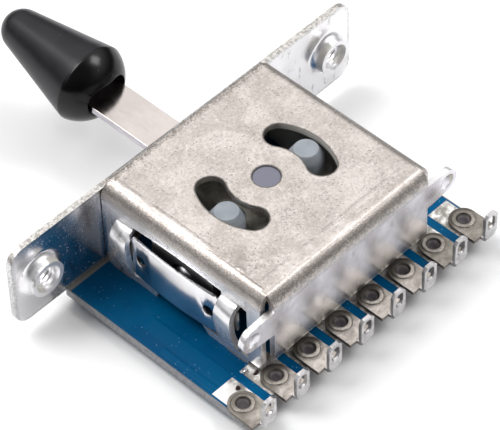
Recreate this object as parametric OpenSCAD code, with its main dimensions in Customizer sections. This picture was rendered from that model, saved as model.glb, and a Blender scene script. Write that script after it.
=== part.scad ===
// Lever-type pickup selector switch for an electric guitar, in millimetres.
// The origin is midway between the two panel screw holes, on the face that meets the panel.
// +Y points out of the panel along the lever, +X along the screw line, +Z up through the cover.

/* [Panel fixing] */
// Distance between the two panel screws
screw_spacing = 41.3; // [36:0.1:50]
// Bore of a screw hole before it is tapped, for an M3 screw
screw_bore = 2.5; // [2:0.1:2.9]
// Outside of the drawn collar round a screw hole
collar_d = 4.1; // [3.8:0.1:4.8]
// How far the drawn collar stands behind the flange
collar_h = 1.3; // [0.8:0.1:2]
// From a screw hole to the end of the flange
flange_end = 3.5; // [2.8:0.1:5]
// Top edge of the flange above the screw line
flange_up = 4.95; // [4:0.05:5]
// Bottom edge of the flange below the screw line
flange_down = 5.35; // [3.5:0.05:5.35]
// Radius of the flange's corners
flange_corner_r = 1.8; // [0.5:0.1:2.5]

/* [Folded cover] */
// Thickness of the steel sheet
sheet_t = 0.7; // [0.5:0.05:0.9]
// Width of the cover over its side walls
cover_w = 24; // [20:0.1:29]
// Depth of the cover from the panel face to the rear wall
cover_l = 23.3; // [21:0.1:28]
// Top of the cover above the screw line
plate_up = 5.6; // [5.3:0.05:6.5]
// Outer bend radius along the front
bend_r = 0.95; // [0.92:0.01:1.3]
// Outer bend radius along the sides
side_bend_r = 1.5; // [1:0.1:1.8]
// Outer bend radius along the rear
rear_bend_r = 1.6; // [1:0.1:2]
// How far the rear wall stops above the circuit board
rear_wall_gap = 2.1; // [1.2:0.1:3]
// Radius of the two ears on the rear wall
ear_r = 1.4; // [1.2:0.05:1.8]
// How far the middle of an ear stands past the side wall
ear_reach = 1.9; // [1.2:0.05:3]
// Radius of the dimple pressed into an ear
dimple_r = 0.9; // [0.6:0.1:1]

/* [Lever and knob] */
// Swing of the lever to each side of the middle
swing = 24; // [18:1:26]
// Distance of the pivot behind the panel face
pivot_back = 11.85; // [11:0.05:13]
// Level of the lever above the screw line
lever_z = 0.65; // [0:0.05:1]
// Width of the lever blade
blade_w = 4.6; // [3.8:0.1:5.6]
// Thickness of the lever blade
blade_t = 0.85; // [0.6:0.05:1.1]
// How far the blade stands out of the panel face
blade_out = 19; // [17:0.5:20]
// From the panel face to the foot of the knob
knob_out = 10.2; // [9:0.1:12]
// Largest radius of the knob
knob_r = 4.5; // [4.1:0.1:5.5]
// Radius of the knob's round tip
knob_tip_r = 2.35; // [1.8:0.05:2.8]
// From the knob's widest place to the middle of its tip
knob_taper_l = 9.8; // [8:0.1:13]
// Height of the domed foot of the knob
knob_dome_h = 3.4; // [2.2:0.1:3.8]
// Tip of the knob leans up from the blade by this angle
knob_lean = 6; // [0:1:8]

/* [Rotor] */
// Radius at which the two guide posts stand
post_orbit = 5.65; // [5.2:0.05:6.2]
// Width of the curved slots in the cover
post_slot_w = 3.1; // [2.9:0.05:3.4]
// Half the angle over which the middle of a post may travel in its slot
post_slot_angle = 31; // [28:1:34]
// Radius of the pivot pin
pin_r = 1.4; // [1.1:0.05:1.6]
// Radius of the rotor's hub
hub_r = 4.9; // [4.4:0.1:5.4]
// Thickness of the rotor's plate
rotor_t = 4.6; // [4:0.1:5]

/* [Detent] */
// Radius of the steel ball
ball_r = 1.6; // [1.2:0.05:1.8]
// Level of the ball above the screw line
ball_z = 0.4; // [0:0.05:0.5]
// Thickness of the leaf spring
spring_t = 0.3; // [0.2:0.05:0.35]
// Height of the leaf spring between the loops
spring_h = 5.3; // [4.4:0.1:5.6]
// How far the leaf spring bows out between its ends
spring_bow = 0.7; // [0.65:0.05:0.8]
// How far the two loops that hold the spring bulge out of the side wall
loop_bulge = 1.25; // [1.15:0.05:1.4]
// Width of a loop
loop_w = 2.15; // [1.6:0.05:2.4]
// Depth of a detent notch in the rotor
notch_depth = 0.35; // [0.25:0.05:0.4]

/* [Circuit board and terminals] */
// Top of the circuit board below the screw line
board_down = 5.4; // [5.4:0.05:6]
// Thickness of the circuit board
board_t = 1; // [0.8:0.1:1.6]
// Distance from one terminal to the next
pitch = 4.6; // [4:0.1:5.6]
// Thickness of a terminal
lug_t = 0.4; // [0.3:0.05:0.6]
// Width of a terminal on the board
lug_w = 3.1; // [2.8:0.1:3.4]
// Height of the upright solder tab
tab_h = 3.9; // [3:0.1:5]
// Width of the upright solder tab
tab_w = 1.8; // [1.6:0.1:2.4]
// Width of the wire hole in the tab
wire_hole_d = 1.1; // [0.7:0.1:1.2]
// Radius of the barrel of a terminal's eyelet
eyelet_r = 0.8; // [0.7:0.05:1]

/* [Hidden] */
$fn = 64;

// Clearances: a running fit, a seat between fixed pieces, and a cut that goes right through
run_gap = 0.05;
seat_gap = 0.03;
through = 1;

// Cover
half_w = cover_w / 2;
half_flange = screw_spacing / 2 + flange_end;
front_gap = 0.1;
corner_gap = 0.25;
corner_relief = 1;
front_w = cover_w - 2 * corner_relief;
side_front = sheet_t + front_gap;
side_rear = cover_l - sheet_t - corner_gap;
lever_slot_h = blade_t + 1.05;
lever_slot_half = pivot_back * tan(swing) + blade_w / 2 / cos(swing) + 0.5;

// Window in the side wall, with its two loops: a loop rises fast from its top and slowly from its foot
window_front = 2.95;
window_rear = cover_l - 2.75;
window_low = -4.5;
window_high = 2.5;
window_arch = 0.6;
loop_front_y = -(window_front + loop_w);
loop_rear_y = -(window_rear - 1.2);
loop_t = 0.65;
loop_z = 0.55;
loop_top_r = 2;
loop_low_r = 11.65;

// Leaf spring: a shallow arc that bears on the loops from inside, its narrow ends in the window
spring_z = -0.75;
spring_y = (loop_front_y + loop_rear_y + loop_w) / 2;
spring_half_l = -spring_y - window_front - 0.1;
spring_proud = 0.15;
spring_out = half_w + loop_bulge - loop_t + spring_proud;
spring_arc_r = (spring_half_l * spring_half_l + spring_bow * spring_bow) / 2 / spring_bow;

// Ball and rotor: the ball rests against the spring and clears the rotor's rim
ball_x = -(spring_out - spring_t - run_gap - ball_r);
rotor_r = -ball_x - ball_r - run_gap;
detent_step = swing / 2;
notch_r = ball_r + 0.2;
guide_t = 1.5;
guide_w = 8.3;
rotor_low = lever_z - 3.25;
rotor_high = rotor_low + rotor_t;
post_top = plate_up - 0.45;
pin_top = plate_up - 0.15;
shoulder_top = plate_up - sheet_t - 0.15;

// Guide posts and wipers on the rotor
post_shank_r = 1.9;
stake_r = 0.3;
stake_ys = [-0.6, 0.6];
wiper_t = 0.2;
wiper_w = 2.4;

// Circuit board, foil and terminals
terminals = 8;
foil_t = 0.06;
foil_top = -board_down + foil_t;
board_low = -board_down - board_t;
rivet_y = -(cover_l + 0.5);
board_rear = -rivet_y + 1.2;
board_half_w = (terminals - 1) / 2 * pitch + 1.3;
board_front = 0.3;
foil_margin = 0.3;
pad_w = pitch - 1;
pad_front = cover_l - 2.7;
lug_tail = 2.8;
neck_w = 1.3;
neck_l = 0.2;
lug_bend_r = 0.25 + lug_t;
inner_track_r = 4.3;
outer_track_r = min(7.5, half_w - 3.2);
track_w = 1.8;
wiper_x = (inner_track_r + outer_track_r) / 2;

// Tabs that hold the cover on the board
cover_tab_w = 2.4;
cover_tab_l = 1.6;
cover_tab_ys = [-(sheet_t + 2.4), -(pad_front - 1.6)];
pad_step = 0.55;

// Unit vector along one step of a path
function step_dir(p, i) = (p[i + 1] - p[i]) / norm(p[i + 1] - p[i]);

// Normal of a path at one of its points, lengthened at a corner so that the strip keeps its thickness
function path_normal(p, i) =
    let (before = step_dir(p, max(i - 1, 0)),
         after = step_dir(p, min(i, len(p) - 2)),
         along = (before + after) / norm(before + after))
    [-along[1], along[0]] / (along * before);

// Outline of a strip of even thickness that follows a path
function strip_outline(p, t) = concat(
    [for (i = [0 : len(p) - 1]) p[i] + path_normal(p, i) * t / 2],
    [for (i = [len(p) - 1 : -1 : 0]) p[i] - path_normal(p, i) * t / 2]);

// Angle of the outward normal where a straight line touches two circles, small circle last
function tangent_angle(c1, r1, c2, r2) =
    let (d = c2 - c1) atan2(d[1], d[0]) - acos((r1 - r2) / norm(d));

function at_angle(a, r = 1) = [r * cos(a), r * sin(a)];

// Both sides of the object at once
module both_sides() {
    children();
    mirror([1, 0, 0]) children();
}

// A plate drawn in X and Z that faces along Y, from y_back to y_front
module facing_y(y_back, y_front) {
    translate([0, y_front, 0]) rotate([90, 0, 0]) linear_extrude(y_front - y_back) children();
}

// A plate drawn in Y and Z that faces along X, from x_low to x_high
module facing_x(x_low, x_high) {
    translate([x_low, 0, 0]) rotate([90, 0, 90]) linear_extrude(x_high - x_low) children();
}

// Round rod along Y
module rod_y(r, y_back, y_front) {
    facing_y(y_back, y_front) circle(r);
}

// Quarter ring: the section of a bend in the sheet, in the first quadrant
module bend_2d(r, t) {
    intersection() {
        difference() {
            circle(r);
            circle(r - t);
        }
        square(r);
    }
}

// Rectangle given by its corners
module box_2d(low, high) {
    translate(low) square(high - low);
}

// Rectangle with round corners, given by its corners
module round_box_2d(low, high, r) {
    box_2d([low[0] + r, low[1]], [high[0] - r, high[1]]);
    box_2d([low[0], low[1] + r], [high[0], high[1] - r]);
    for (x = [low[0] + r, high[0] - r], y = [low[1] + r, high[1] - r]) translate([x, y]) circle(r);
}

// Ring sector centred on the +X direction
module sector_2d(r_in, r_out, half_angle) {
    intersection() {
        difference() {
            circle(r_out);
            circle(r_in);
        }
        polygon([[0, 0], at_angle(-half_angle, 2 * r_out), [2 * r_out, 0], at_angle(half_angle, 2 * r_out)]);
    }
}

// Curved slot with round ends
module arc_slot_2d(r, w, half_angle) {
    sector_2d(r - w / 2, r + w / 2, half_angle);
    for (a = [-half_angle, half_angle]) translate(at_angle(a, r)) circle(w / 2);
}

// Moves to the pivot
module at_pivot() {
    translate([0, -pivot_back, 0]) children();
}

// Flat top of the cover with its bends along the sides and the front
module cover_top() {
    plate_rear = cover_l - rear_bend_r;
    translate([0, 0, plate_up - sheet_t]) linear_extrude(sheet_t) difference() {
        box_2d([-half_w + side_bend_r, -plate_rear], [half_w - side_bend_r, -bend_r]);
        at_pivot_2d() {
            circle(pin_r + run_gap);
            both_sides() arc_slot_2d(post_orbit, post_slot_w, post_slot_angle);
        }
    }
    both_sides() {
        facing_y(-plate_rear, -side_front) side_bend_2d();
        facing_y(-side_rear, -plate_rear) intersection() {
            side_bend_2d();
            translate([front_w / 2, 0]) square(half_w);
        }
    }
    facing_x(-front_w / 2, front_w / 2) translate([-bend_r, plate_up - bend_r]) bend_2d(bend_r, sheet_t);
    facing_x(-front_w / 2, front_w / 2) translate([-plate_rear, plate_up - rear_bend_r])
        mirror([1, 0]) bend_2d(rear_bend_r, sheet_t);
}

// Section of the bend along a side
module side_bend_2d() {
    translate([half_w - side_bend_r, plate_up - side_bend_r]) bend_2d(side_bend_r, sheet_t);
}

// Moves a plan drawing to the pivot
module at_pivot_2d() {
    translate([0, -pivot_back]) children();
}

// Front flange with the lever's slot and the two drawn and tapped collars
module cover_flange() {
    base_fillet_r = 0.9;
    mouth_r = 0.4;
    lead_in = 0.3;
    difference() {
        union() {
            facing_y(-sheet_t, 0) difference() {
                union() {
                    round_box_2d([-half_flange, -flange_down], [half_flange, flange_up], flange_corner_r);
                    box_2d([-front_w / 2, 0], [front_w / 2, plate_up - bend_r]);
                }
                round_box_2d([-lever_slot_half, lever_z - lever_slot_h / 2],
                             [lever_slot_half, lever_z + lever_slot_h / 2], lever_slot_h / 2 - 0.2);
            }
            both_sides() translate([screw_spacing / 2, -sheet_t, 0]) {
                rod_y(collar_d / 2, -collar_h, 0);
                rotate([90, 0, 0]) rotate_extrude() difference() {
                    square([collar_d / 2 + base_fillet_r, base_fillet_r]);
                    translate([collar_d / 2 + base_fillet_r, base_fillet_r]) circle(base_fillet_r);
                }
            }
        }
        both_sides() translate([screw_spacing / 2, 0, 0]) {
            rod_y(screw_bore / 2, -sheet_t - collar_h - through, through);
            rotate([90, 0, 0]) rotate_extrude() difference() {
                square([screw_bore / 2 + mouth_r, mouth_r]);
                translate([screw_bore / 2 + mouth_r, mouth_r]) circle(mouth_r);
            }
            translate([0, -sheet_t - collar_h, 0]) rotate([-90, 0, 0])
                cylinder(r1 = screw_bore / 2 + lead_in, r2 = screw_bore / 2, h = lead_in);
        }
    }
}

// Side wall drawn in Y and Z: it stands on the board, clears the pads, and its tabs pass through the board
module side_wall_2d() {
    box_2d([-side_rear, -board_down + pad_step], [-side_front, plate_up - side_bend_r]);
    box_2d([-(pad_front - seat_gap), -board_down], [-side_front, 0]);
    for (y = cover_tab_ys) box_2d([y - cover_tab_w / 2, board_low - seat_gap], [y + cover_tab_w / 2, 0]);
}

// Foot of a tab, folded inwards under the board
module tab_foot(y) {
    foot_r = sheet_t + 0.1;
    facing_y(y - cover_tab_w / 2, y + cover_tab_w / 2) {
        translate([half_w - foot_r, board_low - seat_gap]) mirror([0, 1]) bend_2d(foot_r, sheet_t);
        box_2d([half_w - foot_r - cover_tab_l, board_low - seat_gap - foot_r],
               [half_w - foot_r, board_low - seat_gap - foot_r + sheet_t]);
    }
}

// Window drawn in Y and Z: its top edge is arched, and its middle runs down to the board
module window_2d() {
    half_l = (window_rear - window_front) / 2;
    arch_r = (half_l * half_l + window_arch * window_arch) / 2 / window_arch;
    gap_front = 8;
    gap_rear = 14.3;
    low = -board_down - seat_gap;
    intersection() {
        translate([-window_front - half_l, window_high + window_arch - arch_r]) circle(arch_r, $fn = 720);
        box_2d([-window_rear, window_low], [-window_front, window_high + window_arch]);
    }
    polygon([[-gap_front, low], [-gap_front, 0], [-gap_rear, 0], [-gap_rear, window_low],
             [-gap_rear + low - window_low, low]]);
}

// Part of a loop's section: a ring that touches the loop's crown, cut off at two heights
module loop_arc_2d(r, low, high) {
    crown = half_w + loop_bulge;
    intersection() {
        translate([crown - r, loop_z]) difference() {
            circle(r, $fn = 256);
            circle(r - loop_t, $fn = 256);
        }
        box_2d([half_w - sheet_t, low], [crown, high]);
    }
}

// Section of a loop: a strip lanced free of the side wall and pushed outwards
module loop_2d() {
    loop_arc_2d(loop_top_r, loop_z, loop_z + loop_top_r);
    loop_arc_2d(loop_low_r, -board_down + pad_step, loop_z);
    box_2d([half_w - sheet_t, loop_z + loop_top_r - loop_t], [half_w, window_high + window_arch]);
}

// Rear wall with its two dimpled ears
module cover_rear() {
    ear_x = half_w + ear_reach;
    ear_z = plate_up - 3.5;
    root_x = front_w / 2;
    dimple_depth = 0.3;
    dish_r = (dimple_r * dimple_r + dimple_depth * dimple_depth) / 2 / dimple_depth;
    difference() {
        union() {
            facing_y(-cover_l, -cover_l + sheet_t) {
                box_2d([-front_w / 2, -board_down + rear_wall_gap], [front_w / 2, plate_up - rear_bend_r]);
                both_sides() {
                    translate([ear_x, ear_z]) circle(ear_r);
                    polygon([[root_x - 0.5, ear_z - ear_r - 0.3], [ear_x, ear_z - ear_r],
                             [ear_x, ear_z + ear_r], [root_x - 0.5, ear_z + ear_r + 0.2]]);
                }
            }
            both_sides() translate([ear_x, -cover_l + sheet_t, ear_z]) intersection() {
                translate([0, dimple_depth - dish_r, 0]) sphere(dish_r);
                rod_y(dimple_r, -dimple_depth, dimple_depth + through);
            }
        }
        both_sides() translate([ear_x, -cover_l + dimple_depth - dish_r, ear_z]) sphere(dish_r);
    }
}

// Folded steel cover: top, flange, walls, loops and feet from one sheet
module cover() {
    color([0.84, 0.82, 0.80]) {
        cover_top();
        cover_flange();
        cover_rear();
        difference() {
            both_sides() facing_x(half_w - sheet_t, half_w) side_wall_2d();
            facing_x(-half_w - through, -half_w + sheet_t + through) window_2d();
        }
        mirror([1, 0, 0]) for (y = [loop_front_y, loop_rear_y]) facing_y(y, y + loop_w) loop_2d();
        both_sides() for (y = cover_tab_ys) tab_foot(y);
    }
}

function terminal_x(i) = (i - (terminals + 1) / 2) * pitch;

// Circuit board with its pivot bore, eyelet bores and slots for the cover's tabs
module circuit_board() {
    corner_r = 0.3;
    slot_gap = 0.1;
    color([0.02, 0.30, 0.48]) translate([0, 0, board_low]) linear_extrude(board_t) difference() {
        round_box_2d([-board_half_w, -board_rear], [board_half_w, -board_front], corner_r);
        at_pivot_2d() circle(pin_r + run_gap);
        for (i = [1 : terminals]) translate([terminal_x(i), rivet_y]) circle(eyelet_r + seat_gap);
        both_sides() for (y = cover_tab_ys)
            box_2d([half_w - sheet_t - slot_gap, y - cover_tab_w / 2 - slot_gap],
                   [half_w + slot_gap, y + cover_tab_w / 2 + slot_gap]);
    }
}

// Tinned copper pads under the terminals
module solder_pads() {
    color([0.93, 0.93, 0.92]) translate([0, 0, -board_down]) linear_extrude(foil_t)
        for (i = [1 : terminals]) intersection() {
            difference() {
                box_2d([terminal_x(i) - pad_w / 2, -board_rear + 0.05], [terminal_x(i) + pad_w / 2, -pad_front]);
                translate([terminal_x(i), rivet_y]) circle(eyelet_r + seat_gap);
            }
            box_2d([-board_half_w + foil_margin, -board_rear], [board_half_w - foil_margin, 0]);
        }
}

// Copper contacts that the wipers slide over: a long one and three short ones to each side
module contact_tracks() {
    short_angle = 9;
    long_angle = swing + 8;
    color([0.80, 0.52, 0.30]) translate([0, -pivot_back, -board_down]) linear_extrude(foil_t)
        both_sides() {
            sector_2d(inner_track_r - track_w / 2, inner_track_r + track_w / 2, long_angle);
            for (a = [-swing, 0, swing]) rotate(a)
                sector_2d(outer_track_r - track_w / 2, outer_track_r + track_w / 2, short_angle);
        }
}

// One solder terminal: a lug on the board, a neck and an upright tab with a wire hole
module terminal(i) {
    tab_chamfer = 0.45;
    tab_shoulder = 0.35;
    neck_end = -lug_tail - neck_l;
    color([0.80, 0.77, 0.73]) translate([terminal_x(i), rivet_y, foil_top]) {
        linear_extrude(lug_t) difference() {
            union() {
                circle(lug_w / 2);
                box_2d([-lug_w / 2, -lug_tail], [lug_w / 2, 0]);
                box_2d([-neck_w / 2, neck_end], [neck_w / 2, 0]);
            }
            circle(eyelet_r + seat_gap);
        }
        translate([0, neck_end, lug_bend_r]) {
            facing_x(-neck_w / 2, neck_w / 2) rotate(180) bend_2d(lug_bend_r, lug_t);
            facing_y(-lug_bend_r, -lug_bend_r + lug_t) difference() {
                polygon([[-neck_w / 2, 0], [-tab_w / 2, tab_shoulder], [-tab_w / 2, tab_h - lug_bend_r - tab_chamfer],
                         [-tab_w / 2 + tab_chamfer, tab_h - lug_bend_r],
                         [tab_w / 2 - tab_chamfer, tab_h - lug_bend_r],
                         [tab_w / 2, tab_h - lug_bend_r - tab_chamfer], [tab_w / 2, tab_shoulder], [neck_w / 2, 0]]);
                translate([0, (tab_h - lug_bend_r) * 0.6]) {
                    box_2d([-wire_hole_d / 2, -wire_hole_d / 3], [wire_hole_d / 2, wire_hole_d / 3]);
                    for (z = [-1, 1]) translate([0, z * wire_hole_d / 3]) circle(wire_hole_d / 2);
                }
            }
        }
    }
}

// Hollow eyelets that rivet the terminals to the board
module terminal_rivets() {
    bore_r = eyelet_r - 0.3;
    head_r = eyelet_r + 0.45;
    head_t = 0.1;
    mouth_r = bore_r + 0.25;
    mouth_l = 0.35;
    foot_t = 0.3;
    top = foil_top + lug_t;
    color([0.62, 0.60, 0.58]) for (i = [1 : terminals]) translate([terminal_x(i), rivet_y, 0])
        rotate_extrude() polygon([
            [bore_r, board_low - foot_t], [eyelet_r, board_low - foot_t], [head_r, board_low - foot_t / 2],
            [head_r, board_low], [eyelet_r, board_low], [eyelet_r, top], [head_r, top],
            [head_r - 0.12, top + head_t], [mouth_r, top + head_t], [bore_r, top + head_t - mouth_l]]);
}

// Outline of the lever's own blade about the pivot, made larger by grow on every side
module lever_2d(grow = 0) {
    ring_r = hub_r - 0.8;
    boss_r = 2.4;
    nose = 1;
    tip = pivot_back + blade_out;
    difference() {
        union() {
            circle(ring_r + grow);
            polygon([[-blade_w / 2 - grow, 0], [blade_w / 2 + grow, 0], [blade_w / 2 + grow, tip - nose],
                     [blade_w / 2 - nose, tip + grow], [-blade_w / 2 + nose, tip + grow],
                     [-blade_w / 2 - grow, tip - nose]]);
        }
        circle(boss_r - grow);
    }
}

// Steel lever blade, moulded into the rotor and pushed into the knob
module lever() {
    color([0.80, 0.78, 0.76]) translate([0, -pivot_back, lever_z - blade_t / 2])
        linear_extrude(blade_t) lever_2d();
}

// Plan of the rotor's plate: hub, notched sector, opposite arm and the socket of the lever
module rotor_plan_2d() {
    sector_angle = swing + detent_step / 2 + 4;
    socket_w = blade_w + 2.6;
    socket_l = hub_r + 2.8;
    arm_w = 2 * post_shank_r + 1.2;
    difference() {
        union() {
            circle(hub_r);
            mirror([1, 0]) sector_2d(0, rotor_r, sector_angle);
            round_box_2d([0, -arm_w / 2], [post_orbit + arm_w / 2, arm_w / 2], arm_w / 2 - 0.1);
            round_box_2d([-socket_w / 2, 0], [socket_w / 2, socket_l], 0.8);
        }
        for (k = [-2 : 2]) rotate(180 + k * detent_step)
            translate([rotor_r - notch_depth + notch_r, 0]) circle(notch_r);
    }
}

// A guide post: a wide shank, then a cone that enters the curved slot of the cover
module post() {
    tip_r = post_slot_w / 2 - 0.3;
    cone_h = 1.05;
    translate([0, 0, rotor_high - 0.1]) cylinder(r = post_shank_r, h = post_top - cone_h - rotor_high + 0.1);
    translate([0, 0, post_top - cone_h]) cylinder(r1 = post_shank_r, r2 = tip_r, h = cone_h);
}

// Moulded rotor: turns on its pivot pin, carries the lever, the posts and the wipers
module rotor() {
    boss_r = 2.2;
    foot_r = 2.6;
    stake_h = 0.55;
    color([0.66, 0.68, 0.71]) at_pivot() difference() {
        union() {
            translate([0, 0, rotor_low]) linear_extrude(rotor_t) rotor_plan_2d();
            translate([0, 0, rotor_high - 0.1]) cylinder(r = boss_r, h = shoulder_top - rotor_high + 0.1);
            translate([0, 0, rotor_high]) cylinder(r = pin_r, h = pin_top - rotor_high);
            translate([0, 0, foil_top + run_gap]) cylinder(r = foot_r, h = rotor_low - foil_top);
            translate([0, 0, board_low + 0.2]) cylinder(r = pin_r, h = rotor_low - board_low);
            both_sides() translate([post_orbit, 0, 0]) post();
            both_sides() for (y = stake_ys) translate([wiper_x, y, rotor_low - stake_h])
                cylinder(r = stake_r, h = stake_h + 0.1);
        }
        translate([0, 0, lever_z - blade_t / 2 - seat_gap]) linear_extrude(blade_t + 2 * seat_gap)
            lever_2d(seat_gap);
    }
}

// Half section of the knob, its foot down: domed foot, rounded rim, straight taper, round tip
module knob_2d() {
    rim_r = 0.6;
    rim = [knob_r - rim_r, 0];
    tip = [0, knob_taper_l];
    rise = knob_dome_h - rim_r;
    dome = [0, (rim[0] * rim[0] - rise * rise) / 2 / rise];
    dome_r = dome[1] + knob_dome_h;
    side = tangent_angle(rim, rim_r, tip, knob_tip_r);
    dome_side = atan2(-dome[1], rim[0]);
    intersection() {
        box_2d([0, -knob_dome_h], [knob_r, knob_taper_l + knob_tip_r]);
        union() {
            translate(rim) circle(rim_r);
            translate(tip) circle(knob_tip_r);
            polygon([rim, rim + at_angle(side, rim_r), tip + at_angle(side, knob_tip_r), tip, [0, 0]]);
            intersection() {
                translate(dome) circle(dome_r);
                polygon([dome, dome + [0, -2 * dome_r], dome + at_angle(dome_side, 2 * dome_r)]);
            }
        }
    }
}

// Plastic knob pushed on the blade, with an oval recess round the blade's entry
module knob() {
    recess_w = blade_w + 0.7;
    recess_h = blade_t + 2.7;
    recess_lift = 0.5;
    recess_l = 1.6;
    color([0.05, 0.05, 0.06]) difference() {
        translate([0, knob_out, lever_z]) rotate([knob_lean, 0, 0]) translate([0, knob_dome_h, 0])
            rotate([-90, 0, 0]) rotate_extrude() knob_2d();
        translate([0, 0, lever_z - blade_t / 2 - seat_gap]) linear_extrude(blade_t + 2 * seat_gap)
            at_pivot_2d() lever_2d(seat_gap);
        facing_y(knob_out - through, knob_out + recess_l)
            round_box_2d([-recess_w / 2, lever_z + recess_lift - recess_h / 2],
                         [recess_w / 2, lever_z + recess_lift + recess_h / 2], recess_h / 2 - 0.1);
    }
}

// Bronze wiper on the +X side: a flat base on the rotor and two sprung legs to the tracks
module wiper() {
    base_z = rotor_low - seat_gap - wiper_t / 2;
    touch_z = foil_top + run_gap + wiper_t / 2;
    slit_w = 0.4;
    slit_l = 2.4;
    slit_reach = 1.3;
    legs = [[inner_track_r + 0.9, touch_z + 0.35], [inner_track_r + 0.3, touch_z], [inner_track_r - 0.2, touch_z + 0.1],
            [inner_track_r - 1.0, base_z - 0.5], [inner_track_r - 0.6, base_z], [outer_track_r + 0.6, base_z],
            [outer_track_r + 1.0, base_z - 0.5], [outer_track_r + 0.2, touch_z + 0.1], [outer_track_r - 0.3, touch_z],
            [outer_track_r - 0.9, touch_z + 0.35]];
    color([0.78, 0.58, 0.30]) at_pivot() difference() {
        facing_y(-wiper_w / 2, wiper_w / 2) polygon(strip_outline(legs, wiper_t));
        for (y = stake_ys) translate([wiper_x, y, base_z - wiper_t])
            cylinder(r = stake_r + seat_gap, h = 2 * wiper_t);
        facing_y(-slit_w / 2, slit_w / 2) for (x = [inner_track_r - slit_reach, outer_track_r + slit_reach])
            translate([x, touch_z]) square([slit_l, 1.6], center = true);
    }
}

// Leaf spring threaded through the loops of the side wall: tall between them, narrow inside them
module leaf_spring() {
    hole_r = 0.65;
    hole_reach = 4.6;
    tongue_low = -1.4;
    tongue_high = 1.15;
    step_gap = 0.1;
    corner_r = 0.4;
    tall_front = loop_front_y - step_gap;
    tall_rear = loop_rear_y + loop_w + step_gap;
    color([0.72, 0.72, 0.72]) difference() {
        intersection() {
            translate([spring_arc_r - spring_out, spring_y, spring_z - spring_h])
                linear_extrude(2 * spring_h) difference() {
                    circle(spring_arc_r, $fn = 720);
                    circle(spring_arc_r - spring_t, $fn = 720);
                }
            facing_x(-half_w - 3, 0) {
                round_box_2d([tall_rear, spring_z - spring_h / 2], [tall_front, spring_z + spring_h / 2], corner_r);
                box_2d([spring_y - spring_half_l, tongue_low], [spring_y + spring_half_l, tongue_high]);
            }
        }
        for (side = [-1, 1]) translate([-spring_out, spring_y + side * hole_reach, spring_z])
            rotate([0, 90, 0]) cylinder(r = hole_r, h = 4, center = true);
    }
}

// Plastic guide that fills the middle of the window and holds the ball in its bore
module ball_guide() {
    nose_gap = 0.1;
    nose_high = window_high + window_arch - 0.25;
    back_w = guide_w + 1.6;
    inner_x = -(half_w - nose_gap - guide_t);
    wall_x = -(half_w - sheet_t - seat_gap);
    color([0.10, 0.10, 0.11]) difference() {
        translate([0, -pivot_back, 0]) {
            facing_x(-(half_w - nose_gap), inner_x)
                box_2d([-guide_w / 2, window_low + nose_gap], [guide_w / 2, nose_high]);
            facing_x(wall_x, inner_x)
                box_2d([-back_w / 2, -board_down + seat_gap], [back_w / 2, nose_high + 0.5]);
        }
        translate([-half_w, -pivot_back, ball_z]) rotate([0, 90, 0])
            cylinder(r = ball_r + run_gap, h = 8, center = true);
    }
}

// Steel ball of the detent
module detent_ball() {
    color([0.85, 0.86, 0.88]) translate([ball_x, -pivot_back, ball_z]) sphere(ball_r);
}

cover();
circuit_board();
solder_pads();
contact_tracks();
terminal(1);  // terminal_1
terminal(2);  // terminal_2
terminal(3);  // terminal_3
terminal(4);  // terminal_4
terminal(5);  // terminal_5
terminal(6);  // terminal_6
terminal(7);  // terminal_7
terminal(8);  // terminal_8
terminal_rivets();
rotor();
lever();
knob();
mirror([1, 0, 0]) wiper();  // wiper_left
wiper();  // wiper_right
leaf_spring();
ball_guide();
detent_ball();
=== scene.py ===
"""Guitar pickup selector switch: materials, small details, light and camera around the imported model."""
import math
import random
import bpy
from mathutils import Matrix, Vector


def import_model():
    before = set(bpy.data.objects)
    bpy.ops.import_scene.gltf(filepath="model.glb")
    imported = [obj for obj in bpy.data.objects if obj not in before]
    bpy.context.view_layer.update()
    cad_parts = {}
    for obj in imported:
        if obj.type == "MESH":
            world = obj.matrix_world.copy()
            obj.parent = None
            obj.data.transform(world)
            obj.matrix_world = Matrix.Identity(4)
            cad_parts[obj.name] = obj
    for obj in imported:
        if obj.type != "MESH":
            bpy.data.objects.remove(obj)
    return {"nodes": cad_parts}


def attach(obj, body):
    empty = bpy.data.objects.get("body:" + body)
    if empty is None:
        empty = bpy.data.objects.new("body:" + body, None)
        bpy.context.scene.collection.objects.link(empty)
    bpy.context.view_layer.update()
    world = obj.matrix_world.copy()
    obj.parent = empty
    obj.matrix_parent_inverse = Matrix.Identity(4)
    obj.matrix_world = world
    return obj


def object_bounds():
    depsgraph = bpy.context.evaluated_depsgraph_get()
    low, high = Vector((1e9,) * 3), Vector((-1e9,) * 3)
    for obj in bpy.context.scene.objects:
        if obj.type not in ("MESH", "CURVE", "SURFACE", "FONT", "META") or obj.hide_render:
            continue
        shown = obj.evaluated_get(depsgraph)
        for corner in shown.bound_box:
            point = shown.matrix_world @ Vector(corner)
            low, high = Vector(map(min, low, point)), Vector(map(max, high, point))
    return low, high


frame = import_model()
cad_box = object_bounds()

from types import SimpleNamespace
import bpy
from mathutils import Matrix, Vector

MM = 0.001

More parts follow.
